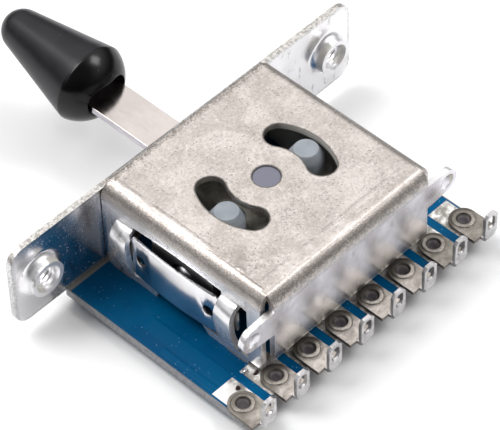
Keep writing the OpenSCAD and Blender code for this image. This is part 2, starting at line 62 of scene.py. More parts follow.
# Sizes taken over from the part, in millimetres
SCREW_SPACING = 41.3
BORE_R = 1.25
SHEET_T = 0.7
FLANGE_HALF_W = 24.15
FLANGE_UP = 4.95
FLANGE_DOWN = 5.35
COLLAR_BACK = -2.0
COLLAR_FROM_X = 18.0
COVER_HALF_W = 12.0
COVER_REAR = -23.3
COVER_TOP = 5.6
TERMINAL_PITCH = 4.6
TERMINALS = 8
RIVET_Y = -23.8
TAB_Y = -26.65
LUG_TOP = -4.94
BOARD_TOP = -5.4
BOARD_HALF_W = 17.4
PIVOT_Y = -11.85
PIN_HOLE_R = 1.45
SLOT_ORBIT = 5.65
SLOT_HALF_W = 1.55
SLOT_HALF_ANGLE = 31.0
REAR_WALL_LOW = -3.3
KNOB_BASE_Y = 10.2
KNOB_DOME_H = 3.4
KNOB_LEAN = 6.0
BLADE_Z = 0.65
RECESS_Z = 1.15
RECESS_HALF_W = 2.65
RECESS_HALF_H = 1.775
RECESS_DEPTH = 1.6

# Places of marks and of drawn conductors, in millimetres
SMUDGE = (-10.3, -18.6)
DIE_LINE_X = -10.35
DIE_LINE_Y = -20.9
FIRST_PAD_EDGE = -15.0
OUTER_RUN_X = 16.5
WIDE_RUN_X = 14.9
CURVED_RUN_R = 9.3
BARE_PATCH = (5.4, PIVOT_Y)


# Node graphs

class Graph:
    """A procedural material: each method adds a node and returns its output socket."""

    def __init__(self, name):
        self.mat = bpy.data.materials.new(name)
        self.mat.use_nodes = True
        self.tree = self.mat.node_tree
        self.shader = self.tree.nodes["Principled BSDF"]
        self.place = self.tree.nodes.new("ShaderNodeTexCoord").outputs["Object"]
        self.coords = {}

    def add(self, kind, **settings):
        node = self.tree.nodes.new("ShaderNode" + kind)
        for key, value in settings.items():
            setattr(node, key, value)
        return node

    def put(self, socket, value):
        """Links a socket, or sets the socket's own value."""
        if isinstance(value, bpy.types.NodeSocket):
            self.tree.links.new(value, socket)
        else:
            socket.default_value = value

    def surface(self, **values):
        """Sets the shader's sockets by name, with _ for a space."""
        for key, value in values.items():
            self.put(self.shader.inputs[key.replace("_", " ")], value)

    def math(self, op, a, b=0.0):
        node = self.add("Math", operation=op)
        self.put(node.inputs[0], a)
        self.put(node.inputs[1], b)
        return node.outputs[0]

    def product(self, *values):
        """All the values multiplied: masks that must all hold."""
        total = values[0]
        for value in values[1:]:
            total = self.math("MULTIPLY", total, value)
        return total

    def most(self, *values):
        """The largest value: masks of which one is enough."""
        total = values[0]
        for value in values[1:]:
            total = self.math("MAXIMUM", total, value)
        return total

    def invert(self, value):
        return self.math("SUBTRACT", 1.0, value)

    def step(self, value, low, high):
        """0 below low, 1 above high, smooth between; the other way round if low is above high."""
        node = self.add("MapRange", interpolation_type="SMOOTHSTEP")
        self.put(node.inputs["Value"], value)
        self.put(node.inputs["From Min"], min(low, high))
        self.put(node.inputs["From Max"], max(low, high))
        return node.outputs[0] if low < high else self.invert(node.outputs[0])

    def span(self, value, low, high):
        """Maps 0..1 to low..high."""
        node = self.add("MapRange")
        self.put(node.inputs["Value"], value)
        self.put(node.inputs["To Min"], low)
        self.put(node.inputs["To Max"], high)
        return node.outputs[0]

    def mix(self, fac, a, b):
        """Mixes two colours."""
        node = self.add("Mix", data_type="RGBA")
        self.put(node.inputs[0], fac)
        self.put(node.inputs[6], a)
        self.put(node.inputs[7], b)
        return node.outputs[2]

    def stretch(self, x, y, z, turn=0.0):
        """The place with each axis scaled, after a turn about Z in degrees."""
        node = self.add("Mapping")
        self.put(node.inputs["Vector"], self.place)
        node.inputs["Rotation"].default_value[2] = math.radians(turn)
        node.inputs["Scale"].default_value = (x, y, z)
        return node.outputs[0]

    def noise(self, size_mm, detail=2.0, rough=0.5, vector=None, warp=0.0):
        """Noise whose features are about size_mm across."""
        node = self.add("TexNoise")
        self.put(node.inputs["Vector"], vector or self.place)
        node.inputs["Scale"].default_value = 1 / (size_mm * MM)
        node.inputs["Detail"].default_value = detail
        node.inputs["Roughness"].default_value = rough
        node.inputs["Distortion"].default_value = warp
        return node.outputs["Fac"]

    def spots(self, size_mm, low, high):
        """1 inside scattered round spots, 0 outside."""
        node = self.add("TexVoronoi")
        self.put(node.inputs["Vector"], self.place)
        node.inputs["Scale"].default_value = 1 / (size_mm * MM)
        return self.invert(self.step(node.outputs["Distance"], low, high))

    def mm(self, name):
        """One coordinate of the place, in millimetres."""
        if not self.coords:
            split = self.add("SeparateXYZ")
            self.put(split.inputs[0], self.place)
            for key in "XYZ":
                self.coords[key] = self.math("MULTIPLY", split.outputs[key], 1 / MM)
        return self.coords[name]

    def facing(self, name):
        """One coordinate of the surface's direction."""
        split = self.add("SeparateXYZ")
        self.put(split.inputs[0], self.add("TexCoord").outputs["Normal"])
        return split.outputs[name]

    def band(self, value, middle, half, soft):
        """1 where value is within half of middle, with soft edges."""
        return self.step(self.math("ABSOLUTE", self.math("SUBTRACT", value, middle)), half + soft, half)

    def ring_distance(self, x, y, pitch=None):
        """Distance in plan from a point, or from a row of them along X, in millimetres."""
        dx = self.math("SUBTRACT", self.mm("X"), x)
        if pitch:
            dx = self.math("PINGPONG", dx, pitch / 2)
        dy = self.math("SUBTRACT", self.mm("Y"), y)
        return self.math("SQRT", self.math("ADD", self.product(dx, dx), self.product(dy, dy)))

    def bump(self, height, depth_mm, strength=1.0, onto=None):
        """Tilts the surface by a height, on top of an earlier bump if one is given."""
        node = self.add("Bump")
        self.put(node.inputs["Height"], height)
        node.inputs["Distance"].default_value = depth_mm * MM
        node.inputs["Strength"].default_value = strength
        if onto:
            self.put(node.inputs["Normal"], onto)
        self.put(self.shader.inputs["Normal"], node.outputs[0])
        return node.outputs[0]


def rgb(r, g, b):
    return (r, g, b, 1.0)


# Materials

def opening_rim(g):
    """Distance outside the top's round hole and curved slots, in millimetres."""
    from_pivot = g.ring_distance(0.0, PIVOT_Y)
    hole = g.math("SUBTRACT", from_pivot, PIN_HOLE_R)
    across = g.math("ABSOLUTE", g.mm("X"))
    along = g.math("ABSOLUTE", g.math("SUBTRACT", g.mm("Y"), PIVOT_Y))
    angle = g.math("DEGREES", g.math("ARCTAN2", along, across))
    end = math.radians(SLOT_HALF_ANGLE)
    arc = g.math("ABSOLUTE", g.math("SUBTRACT", from_pivot, SLOT_ORBIT))
    dx = g.math("SUBTRACT", across, SLOT_ORBIT * math.cos(end))
    dy = g.math("SUBTRACT", along, SLOT_ORBIT * math.sin(end))
    cap = g.math("SQRT", g.math("ADD", g.product(dx, dx), g.product(dy, dy)))
    inside = g.math("LESS_THAN", angle, SLOT_HALF_ANGLE)
    slot = g.math("ADD", g.product(inside, arc), g.product(g.invert(inside), cap))
    return g.math("MINIMUM", hole, g.math("SUBTRACT", slot, SLOT_HALF_W))


def cover_masks(g):
    """Masks for the parts of the cover, and the noises that its marks share."""
    x, y, z = g.mm("X"), g.mm("Y"), g.mm("Z")
    m = SimpleNamespace(width=g.math("ABSOLUTE", x))
    m.flat_top = g.step(g.facing("Z"), 0.80, 0.97)
    m.on_flange = g.step(y, -SHEET_T - 0.08, -SHEET_T + 0.02)
    m.panel = g.product(m.on_flange, g.step(g.math("ABSOLUTE", g.facing("Y")), 0.6, 0.85))
    m.upper = g.product(g.step(z, COVER_TOP - 2.3, COVER_TOP - 1.0), g.invert(m.panel))
    m.rear_wall = g.product(g.step(y, COVER_REAR + 0.7, COVER_REAR + 0.3), g.step(g.facing("Z"), 0.5, 0.2))
    m.behind_flange = g.step(y, -SHEET_T - 0.4, -SHEET_T - 0.6)
    m.inside = g.product(m.behind_flange, g.step(g.product(x, g.facing("X")), -3.0, -6.0))
    m.cloud = g.noise(3.4, 5, 0.6, warp=0.7)
    m.grain = g.noise(0.30, 4, 0.7)
    m.fine = g.noise(0.12, 3, 0.7)
    m.ragged = g.span(g.noise(0.45, 4, 0.7), -0.5, 0.5)
    m.pepper = g.product(g.step(m.fine, 0.54, 0.63), g.step(m.grain, 0.46, 0.58))
    return m


def worn_folds(g, m):
    """Mask of the top's folds, rubbed dark in ragged patches."""
    edge_x = g.math("ADD", m.width, m.ragged)
    edge_y = g.math("ADD", g.mm("Y"), m.ragged)
    edge = g.most(g.product(g.band(edge_x, COVER_HALF_W - 0.65, 0.25, 0.40), 0.9),
                  g.band(edge_y, -SHEET_T - 0.25, 0.18, 0.32),
                  g.product(g.band(edge_y, COVER_REAR + 0.55, 0.2, 0.35), 0.8))
    return g.product(edge, g.step(m.fine, 0.42, 0.52), g.step(m.grain, 0.34, 0.48), 0.90)


def cover_top(g, m):
    """Colour of the satin top: clouded, peppered, pitted, smudged, and worn at its folds and openings."""
    off_top = g.invert(m.flat_top)
    satin = g.mix(g.step(m.cloud, 0.34, 0.68), rgb(0.54, 0.490, 0.455), rgb(0.72, 0.660, 0.620))
    satin = g.mix(g.product(g.step(m.grain, 0.50, 0.64), 0.35), satin, rgb(0.38, 0.34, 0.31))
    satin = g.mix(g.product(g.step(m.grain, 0.46, 0.34), 0.45), satin, rgb(0.85, 0.79, 0.75))
    bent = g.product(off_top, g.span(g.step(m.grain, 0.42, 0.58), 0.90, 0.10))
    rear_bend = g.step(g.mm("Y"), COVER_REAR + 1.7, COVER_REAR + 0.9)
    satin = g.mix(bent, satin, g.mix(rear_bend, rgb(0.38, 0.365, 0.355), rgb(0.25, 0.24, 0.232)))
    patchy = g.step(g.noise(1.6, 4, 0.65, warp=0.5), 0.42, 0.60)
    satin = g.mix(g.product(m.pepper, g.most(patchy, off_top), 0.85), satin, rgb(0.13, 0.115, 0.10))
    pitted = g.product(g.spots(0.36, 0.14, 0.24), g.step(g.noise(0.9, 3, 0.6), 0.48, 0.58))
    satin = g.mix(g.product(pitted, 0.75), satin, rgb(0.17, 0.15, 0.13))
    smudge = g.product(g.step(g.ring_distance(*SMUDGE), 4.2, 1.2), g.step(g.noise(1.2, 4, 0.6), 0.36, 0.60))
    satin = g.mix(g.most(worn_folds(g, m), g.product(smudge, 0.45)), satin, rgb(0.23, 0.20, 0.18))
    rim = g.step(g.math("ADD", opening_rim(g), g.product(m.ragged, 0.25)), 0.20, 0.05)
    return g.mix(g.product(rim, m.flat_top, 0.85), satin, rgb(0.10, 0.092, 0.085))


def flange_cut(g, m, colour):
    """Lays the flange's sheared top edge over a colour."""
    cut = g.product(m.on_flange, g.invert(m.panel), g.step(g.mm("Z"), FLANGE_UP - 0.95, FLANGE_UP - 0.65))
    rolled = g.mix(g.step(m.grain, 0.46, 0.56), rgb(0.74, 0.715, 0.69), rgb(0.42, 0.395, 0.37))
    rolled = g.mix(g.product(m.pepper, 0.8), rolled, rgb(0.12, 0.11, 0.10))
    return g.mix(g.product(cut, 0.9), colour, rolled)


def cover_walls(g, m):
    """Colour of the bright walls: painted shade and reflection of the lugs low on the rear wall, a painted
    highlight along its lower edge, a chipped flange, scuffs.
    """
    z = g.mm("Z")
    bright = g.mix(g.step(g.noise(5.0, 3, 0.5), 0.38, 0.68), rgb(0.92, 0.91, 0.925), rgb(0.80, 0.79, 0.805))
    clouded = g.mix(g.step(m.cloud, 0.36, 0.64), rgb(0.66, 0.645, 0.69), rgb(0.80, 0.785, 0.83))
    bright = g.mix(m.rear_wall, bright, clouded)
    # Painted shade and reflection: the rear wall darkens towards its bottom, standing for the lugs' shadow
    # and dark reflection.
    painted_lug_reflection_shade = g.step(g.math("ADD", z, g.product(m.ragged, 1.6)), -0.6, -3.4)
    bright = g.mix(g.product(m.rear_wall, painted_lug_reflection_shade, 0.75), bright, rgb(0.165, 0.165, 0.158))
    # Painted highlight: a bright band along the rear wall's lower edge.
    painted_edge_highlight = g.product(m.rear_wall, g.band(z, REAR_WALL_LOW, 0.10, 0.05))
    bright = g.mix(painted_edge_highlight, bright, rgb(0.95, 0.93, 0.91))
    outline = g.most(g.step(m.width, FLANGE_HALF_W - 0.6, FLANGE_HALF_W - 0.15),
                     g.step(z, FLANGE_UP - 0.5, FLANGE_UP - 0.1),
                     g.step(z, 0.4 - FLANGE_DOWN, 0.1 - FLANGE_DOWN))
    chipped = g.product(outline, m.on_flange, g.step(m.fine, 0.48, 0.56), 0.8)
    bright = g.mix(chipped, bright, rgb(0.16, 0.15, 0.14))
    scuff = g.step(g.noise(0.9, 4, 0.7, g.stretch(1.0, 1.0, 0.45)), 0.58, 0.66)
    return g.mix(g.product(scuff, 0.55), bright, rgb(0.33, 0.32, 0.31))


def cover_dust(g, m):
    """Mask of pale specks, scattered over the walls and denser on the flange's inner face."""
    scattered = g.product(g.spots(0.30, 0.08, 0.14), g.step(g.noise(1.6, 3, 0.6), 0.44, 0.56))
    settled = g.product(g.spots(0.34, 0.11, 0.17), g.step(g.noise(2.4, 3, 0.6), 0.38, 0.50))
    return g.most(g.product(scattered, g.invert(m.upper)),
                  g.product(settled, m.panel, g.step(g.facing("Y"), -0.5, -0.8)))


def cover_roughness(g, m):
    """Satin on the top, brighter on the walls, scraped round the collars."""
    top = g.math("ADD", g.span(m.grain, 0.28, 0.46), g.product(g.invert(m.flat_top), 0.10))
    collar = g.product(g.step(g.mm("Y"), -SHEET_T - 0.02, -SHEET_T - 0.25),
                       g.step(m.width, COLLAR_FROM_X - 0.2, COLLAR_FROM_X + 0.2))
    scraped = g.product(collar, g.span(g.noise(0.25, 3, 0.6), 0.04, 0.22))
    wall = g.math("ADD", g.span(g.noise(2.0, 4, 0.6), 0.14, 0.32), scraped)
    return g.math("ADD", g.product(m.upper, top), g.product(g.invert(m.upper), wall))


def cover_relief(g, m):
    """A slow wave in the sheet, a faint die line along two folds, and the plate's grain."""
    wander = g.product(m.ragged, 0.3)
    line = g.most(g.band(g.math("ADD", g.mm("Y"), wander), DIE_LINE_Y, 0.05, 0.35),
                  g.band(g.math("ADD", g.mm("X"), wander), DIE_LINE_X, 0.05, 0.30))
    line = g.product(line, m.flat_top, g.step(g.noise(3.5, 2, 0.5), 0.36, 0.50))
    wave = g.bump(g.noise(6.0, 2, 0.5), 0.06)
    pressed = g.bump(line, 0.05, 0.8, onto=wave)
    g.bump(g.product(m.grain, g.span(m.upper, 0.15, 1.0)), 0.035, onto=pressed)


def cover_metal():
    """Nickel plate: satin, speckled and smudged on the top; bright and dusty on the walls."""
    g = Graph("nickel_cover")
    m = cover_masks(g)
    specks = cover_dust(g, m)
    colour = g.mix(m.upper, cover_walls(g, m), flange_cut(g, m, cover_top(g, m)))
    colour = g.mix(m.inside, colour, rgb(0.62, 0.60, 0.555))
    side_haze = g.product(m.behind_flange, g.invert(m.upper), g.invert(m.rear_wall), 0.30)
    haze = g.most(side_haze, g.product(m.inside, 0.8))
    g.surface(Base_Color=g.mix(specks, colour, rgb(0.85, 0.90, 0.92)),
              Metallic=g.product(g.invert(specks), g.invert(haze)),
              Roughness=g.math("MAXIMUM", cover_roughness(g, m), g.product(specks, 0.8)))
    cover_relief(g, m)
    return g.mat


def lever_metal():
    """Satin nickel blade, brushed along its length, with darker sheared sides."""
    g = Graph("nickel_lever")
    top = g.step(g.facing("Z"), 0.5, 0.9)
    grain = g.noise(0.5, 4, 0.65, g.stretch(1.0, 0.22, 1.0))
    cloud = g.noise(4.0, 4, 0.55)
    face = g.mix(g.step(cloud, 0.35, 0.7), rgb(0.60, 0.54, 0.515), rgb(0.68, 0.615, 0.585))
    face = g.mix(g.product(g.step(grain, 0.55, 0.7), 0.25), face, rgb(0.50, 0.45, 0.425))
    side = g.mix(g.step(g.noise(0.3, 3, 0.6, g.stretch(1.0, 0.2, 1.0)), 0.4, 0.7),
                 rgb(0.50, 0.47, 0.51), rgb(0.64, 0.61, 0.65))
    g.surface(Metallic=1.0, Base_Color=g.mix(top, side, face), Roughness=g.span(grain, 0.10, 0.26))
    g.bump(grain, 0.006)
    return g.mat


def steel(name, low, high, rough, wave):
    """Bright steel with faint clouds of polish, fine rolling lines and a slow wave of the given depth."""
    g = Graph(name)
    cloud = g.noise(3.0, 3, 0.5)
    lines = g.noise(0.25, 3, 0.6, g.stretch(1.0, 0.12, 1.0))
    shade = g.math("ADD", g.product(cloud, 0.8), g.product(lines, 0.2))
    g.surface(Metallic=1.0, Base_Color=g.mix(g.step(shade, 0.35, 0.65), low, high),
              Roughness=g.span(g.noise(1.0, 4, 0.6), *rough))
    g.bump(g.noise(4.8, 1, 0.4), wave)
    return g.mat


def tin_lug():
    """Tinned brass lug: brushed and mottled, stained round the eyelet, with painted shade near the rear wall
    and dark sheared sides.
    """
    g = Graph("tinned_brass")
    brushed = g.noise(0.20, 4, 0.65, g.stretch(0.35, 0.9, 0.6, 35))
    cloud = g.noise(1.2, 4, 0.65, warp=0.5)
    flat = g.step(g.facing("Z"), 0.6, 0.9)
    tab = g.step(g.mm("Y"), TAB_Y + 0.15, TAB_Y - 0.15)
    ring = g.ring_distance(TERMINAL_PITCH / 2, RIVET_Y, TERMINAL_PITCH)
    halo = g.product(g.step(ring, 1.75, 1.05), g.step(cloud, 0.25, 0.60))
    # Painted shade: the lugs past the first pad are darkened near the rear wall, where it shades them.
    painted_lug_shade = g.product(g.step(g.mm("Y"), RIVET_Y - 0.7, RIVET_Y + 0.6),
                           g.step(g.mm("X"), FIRST_PAD_EDGE - 0.6, FIRST_PAD_EDGE + 0.6),
                           g.step(cloud, 0.10, 0.36))
    # Real staining round each eyelet, joined with the painted shade near the rear wall.
    stain_and_shade = g.most(g.product(halo, g.step(g.noise(0.55, 4, 0.65), 0.30, 0.62)), painted_lug_shade)
    stain_and_shade_flat = g.product(stain_and_shade, flat)
    colour = g.mix(g.step(cloud, 0.3, 0.7), rgb(0.21, 0.19, 0.163), rgb(0.40, 0.37, 0.33))
    colour = g.mix(g.product(g.step(brushed, 0.5, 0.68), 0.45), colour, rgb(0.15, 0.133, 0.112))
    colour = g.mix(g.product(stain_and_shade_flat, 0.85), colour, rgb(0.060, 0.048, 0.037))
    bright = g.mix(g.step(cloud, 0.35, 0.65), rgb(0.44, 0.43, 0.43), rgb(0.66, 0.645, 0.65))
    colour = g.mix(tab, colour, bright)
    cut = g.product(g.invert(flat), g.invert(tab))
    colour = g.mix(g.product(cut, 0.75), colour, rgb(0.14, 0.12, 0.105))
    dulled = g.math("ADD", g.product(brushed, 0.6), g.product(stain_and_shade, 0.4))
    g.surface(Metallic=g.span(stain_and_shade_flat, 1.0, 0.55), Base_Color=colour, Roughness=g.span(dulled, 0.32, 0.60))
    g.bump(g.math("ADD", brushed, g.product(cloud, 1.5)), 0.016)
    return g.mat


def tin_eyelet():
    """Rolled eyelet: matt grey, with painted shade in the mouth of its bore and on its side towards the rear
    wall.
    """
    g = Graph("tinned_eyelet")
    cloud = g.noise(0.4, 4, 0.65)
    deep = g.step(g.mm("Z"), LUG_TOP + 0.04, LUG_TOP - 0.35)
    ring = g.ring_distance(TERMINAL_PITCH / 2, RIVET_Y, TERMINAL_PITCH)
    # Painted shade: the mouth of the bore is darkened where its funnel shades it.
    painted_throat_shade = g.product(g.step(ring, 0.92, 0.74), g.invert(deep))
    colour = g.mix(g.step(cloud, 0.35, 0.7), rgb(0.26, 0.236, 0.207), rgb(0.44, 0.405, 0.362))
    # Painted shade: the side towards the rear wall is darkened in patches.
    painted_wallward_shade = g.product(g.step(g.mm("Y"), RIVET_Y - 0.4, RIVET_Y + 0.5), g.step(cloud, 0.30, 0.60))
    colour = g.mix(g.most(g.product(painted_throat_shade, 0.90), g.product(painted_wallward_shade, 0.6)), colour, rgb(0.055, 0.048, 0.041))
    colour = g.mix(deep, colour, rgb(0.58, 0.54, 0.56))
    g.surface(Metallic=0.9, Base_Color=colour, Roughness=g.span(cloud, 0.30, 0.55))
    g.bump(cloud, 0.02)
    return g.mat


def tin_pad():
    """Bright tinned pads, darkened in patches of painted shade on all but the first."""
    g = Graph("hot_tin")
    lump = g.noise(1.1, 3, 0.5)
    tin = g.mix(g.step(lump, 0.3, 0.7), rgb(0.86, 0.84, 0.81), rgb(0.95, 0.94, 0.92))
    # Painted shade: pads past the first are darkened in patches, standing for the rear wall's shade.
    painted_pad_shade = g.product(g.step(g.mm("X"), FIRST_PAD_EDGE - 0.4, FIRST_PAD_EDGE + 0.4),
                     g.step(g.noise(0.9, 4, 0.6), 0.34, 0.60))
    tin = g.mix(g.product(painted_pad_shade, 0.85), tin, rgb(0.20, 0.178, 0.15))
    g.surface(Metallic=g.span(lump, 0.45, 0.75), Base_Color=tin, Roughness=g.span(lump, 0.30, 0.5))
    g.bump(lump, 0.03)
    return g.mat


def board_runs(g):
    """Mask of the conductors that show as ridges under the solder mask."""
    y = g.mm("Y")
    across = g.math("ABSOLUTE", g.mm("X"))
    lane = g.math("PINGPONG", g.mm("X"), TERMINAL_PITCH)
    return g.most(g.product(g.band(across, WIDE_RUN_X, 0.7, 0.35), g.step(y, -9.1, -9.8)),
                  g.product(g.band(across, OUTER_RUN_X, 0.25, 0.25), g.step(y, -12.9, -13.6)),
                  g.product(g.band(g.ring_distance(0.0, PIVOT_Y), CURVED_RUN_R, 0.45, 0.15),
                            g.step(y, -11.0, -11.4)),
                  g.product(g.band(lane, TERMINAL_PITCH / 2, 0.45, 0.15), g.step(y, -18.4, -18.8),
                            g.step(across, COVER_HALF_W + 0.2, COVER_HALF_W - 0.2)))


def mask_board():
    """Blue solder mask over glass fibre: raised conductors, dust, a bare edge, a pale patch inside."""
    g = Graph("blue_mask")
    face = g.step(g.math("ABSOLUTE", g.facing("Z")), 0.5, 0.8)
    across = g.math("ABSOLUTE", g.mm("X"))
    run = board_runs(g)
    cloud = g.noise(5.0, 3, 0.5)
    blue = g.mix(g.step(cloud, 0.35, 0.7), rgb(0.0004, 0.070, 0.182), rgb(0.0005, 0.094, 0.222))
    blue = g.mix(g.product(run, 0.5), blue, rgb(0.0005, 0.098, 0.228))
    patch = g.mix(g.step(cloud, 0.4, 0.6), rgb(0.34, 0.325, 0.29), rgb(0.44, 0.425, 0.385))
    blue = g.mix(g.step(g.ring_distance(*BARE_PATCH), 6.2, 4.6), blue, patch)
    dust = g.product(g.spots(0.42, 0.09, 0.15), g.step(g.noise(1.8, 3, 0.6), 0.48, 0.58))
    blue = g.mix(g.product(dust, 0.8), blue, rgb(0.26, 0.42, 0.52))
    edge = g.mix(g.step(g.noise(0.35, 3, 0.6), 0.35, 0.65), rgb(0.25, 0.25, 0.265), rgb(0.37, 0.37, 0.385))
    bare = g.most(g.step(g.mm("Y"), -1.15, -1.02),
                  g.step(across, BOARD_HALF_W - 0.14, BOARD_HALF_W - 0.06))
    blue = g.mix(g.product(bare, 0.9), blue, rgb(0.26, 0.245, 0.22))
    g.surface(Base_Color=g.mix(face, edge, blue), Roughness=g.span(g.noise(0.9, 3, 0.6), 0.22, 0.38),
              Specular_IOR_Level=0.05)
    g.bump(g.math("ADD", g.product(run, 2.0), g.product(g.noise(0.35, 3, 0.6), 0.4)), 0.02)
    return g.mat


def copper():
    """Copper contact, rubbed bright by the wipers."""
    g = Graph("copper_track")
    rub = g.noise(0.4, 4, 0.6)
    colour = g.mix(g.step(rub, 0.35, 0.7), rgb(0.62, 0.30, 0.16), rgb(0.86, 0.52, 0.34))
    g.surface(Metallic=1.0, Base_Color=colour, Roughness=g.span(rub, 0.18, 0.4))
    g.bump(rub, 0.01)
    return g.mat


def bronze():
    """Sprung bronze strip, rolled lengthwise."""
    g = Graph("bronze_strip")
    rub = g.noise(0.3, 4, 0.6, g.stretch(0.25, 1.0, 1.0))
    colour = g.mix(g.step(rub, 0.35, 0.7), rgb(0.60, 0.39, 0.16), rgb(0.80, 0.58, 0.28))
    g.surface(Metallic=1.0, Base_Color=colour, Roughness=g.span(rub, 0.2, 0.38))
    g.bump(rub, 0.01)
    return g.mat


def dust_specks(g, low, high):
    """Mask of a few pale specks of dust, gathered where a slow noise passes low to high."""
    return g.product(g.spots(1.1, 0.03, 0.06), g.step(g.noise(2.0, 2, 0.5), low, high))


def guide_plastic():
    """Black acetal: faint clouds of shade, a fine mould grain and a little dust."""
    g = Graph("black_acetal")
    shade = g.step(g.noise(2.5, 3, 0.5), 0.3, 0.7)
    colour = g.mix(shade, rgb(0.006, 0.006, 0.007), rgb(0.012, 0.012, 0.014))
    dust = g.product(dust_specks(g, 0.54, 0.60), 0.5)
    g.surface(Base_Color=g.mix(dust, colour, rgb(0.30, 0.30, 0.31)),
              Roughness=g.span(g.noise(1.2, 4, 0.6), 0.4, 0.55), Specular_IOR_Level=0.5)
    g.bump(g.noise(0.12, 3, 0.6), 0.006)
    return g.mat


def knob_recess(g):
    """Mask of the walls and floor of the recess where the blade enters the knob."""
    x, y, z = g.mm("X"), g.mm("Y"), g.mm("Z")
    height = g.math("ABSOLUTE", g.math("SUBTRACT", z, RECESS_Z))
    wall = g.step(g.math("ABSOLUTE", g.facing("Y")), 0.40, 0.20)
    bottom = g.step(y, KNOB_BASE_Y + RECESS_DEPTH - 0.10, KNOB_BASE_Y + RECESS_DEPTH - 0.04)
    return g.product(g.step(g.math("ABSOLUTE", x), RECESS_HALF_W + 0.05, RECESS_HALF_W + 0.01),
                     g.step(height, RECESS_HALF_H + 0.05, RECESS_HALF_H + 0.01),
                     g.step(y, KNOB_BASE_Y + 3.0, KNOB_BASE_Y + 2.8), g.most(wall, bottom))


def knob_plastic():
    """Black knob: a satin cone and a polished dome, with a crisp edge between them and a matt recess; the
    cone is coloured lighter than the dome partly as painted light.
    """
    g = Graph("black_knob")
    lean = math.radians(KNOB_LEAN)
    reach = g.math("ADD", g.product(g.math("SUBTRACT", g.mm("Y"), KNOB_BASE_Y), math.cos(lean)),
                   g.product(g.math("SUBTRACT", g.mm("Z"), BLADE_Z), math.sin(lean)))
    cone = g.step(reach, KNOB_DOME_H + 0.10, KNOB_DOME_H + 0.30)
    cloud = g.step(g.noise(2.5, 3, 0.5), 0.3, 0.7)
    # The cone's lighter colour against the near-black dome is partly its worn satin finish and partly painted
    # light and shade.
    scuffed_and_lit = g.mix(cloud, rgb(0.0085, 0.0083, 0.0112), rgb(0.0125, 0.0123, 0.0155))
    colour = g.mix(cone, rgb(0.0008, 0.0008, 0.0012), scuffed_and_lit)
    dust = g.product(dust_specks(g, 0.52, 0.58), 0.6)
    satin = g.span(g.noise(0.7, 4, 0.6), 0.26, 0.36)
    polished = g.span(g.noise(1.2, 4, 0.6), 0.16, 0.24)
    rough = g.math("ADD", g.product(cone, satin), g.product(g.invert(cone), polished))
    g.surface(Base_Color=g.mix(dust, colour, rgb(0.30, 0.30, 0.31)),
              Roughness=g.most(rough, g.product(knob_recess(g), 0.85)), Specular_IOR_Level=0.30)
    g.bump(g.noise(0.12, 3, 0.6), 0.004)
    return g.mat


def rotor_plastic():
    """Pale grey nylon on the posts, darker and bluer on the pin, and lighter and warmer on the plate below as
    painted light lifting the deep shade it sits in.
    """
    g = Graph("grey_nylon")
    low = g.step(g.mm("Z"), COVER_TOP - 2.3, COVER_TOP - 3.4)
    shade = g.mix(g.step(g.noise(1.6, 3, 0.5), 0.3, 0.7), rgb(0.25, 0.275, 0.305), rgb(0.31, 0.335, 0.365))
    pin = g.step(g.ring_distance(0.0, PIVOT_Y), PIN_HOLE_R + 0.25, PIN_HOLE_R + 0.05)
    shade = g.mix(pin, shade, rgb(0.185, 0.185, 0.235))
    # Painted light: the plate below gets a lighter, warmer colour than the posts to lift the deep shade it
    # sits in.
    painted_light_plate = g.mix(g.step(g.noise(1.0, 4, 0.6), 0.35, 0.65), rgb(0.42, 0.405, 0.35), rgb(0.58, 0.56, 0.50))
    g.surface(Base_Color=g.mix(low, shade, painted_light_plate), Roughness=g.span(g.noise(0.8, 3, 0.6), 0.35, 0.55),
              Specular_IOR_Level=0.3, Subsurface_Weight=0.15, Subsurface_Radius=(0.6, 0.7, 0.8),
              Subsurface_Scale=0.4 * MM)
    g.bump(g.noise(0.2, 3, 0.6), 0.006)
    return g.mat


# The CAD nodes

BEVEL_ANGLE = 35.0


def dress(names, material, bevel=0.0, segments=2):
    """Gives CAD nodes their material and softens their sheared or moulded edges."""
    for name in names:
        piece = frame["nodes"][name]
        piece.data.materials.clear()
        piece.data.materials.append(material)
        for polygon in piece.data.polygons:
            polygon.material_index = 0
        if bevel:
            weld = piece.modifiers.new("weld", "WELD")
            weld.merge_threshold = 0.0005 * MM
            soft = piece.modifiers.new("soft_edges", "BEVEL")
            soft.width = bevel * MM
            soft.segments = segments
            soft.limit_method = "ANGLE"
            soft.angle_limit = math.radians(BEVEL_ANGLE)
            soft.use_clamp_overlap = True
            soft.harden_normals = True


NICKEL = cover_metal()
SPRING = steel("spring_strip", rgb(0.78, 0.77, 0.79), rgb(0.88, 0.87, 0.89), (0.16, 0.26), 0.004)
BALL = steel("bearing_ball", rgb(0.78, 0.78, 0.80), rgb(0.86, 0.86, 0.88), (0.03, 0.08), 0.0)
dress(["cover"], NICKEL, 0.10, segments=3)
dress(["lever"], lever_metal(), 0.08)
dress(["knob"], knob_plastic(), 0.02)
dress(["rotor"], rotor_plastic(), 0.06)
dress(["ball_guide"], guide_plastic(), 0.05)
dress(["leaf_spring"], SPRING, 0.04)
dress(["detent_ball"], BALL)
dress(["circuit_board"], mask_board(), 0.04)
dress(["solder_pads"], tin_pad())
dress(["contact_tracks"], copper())
dress(["wiper_left", "wiper_right"], bronze(), 0.02)
dress(["terminal_rivets"], tin_eyelet(), 0.03)
dress(["terminal_%d" % (i + 1) for i in range(TERMINALS)], tin_lug(), 0.07)


# Small pieces that the CAD model leaves out

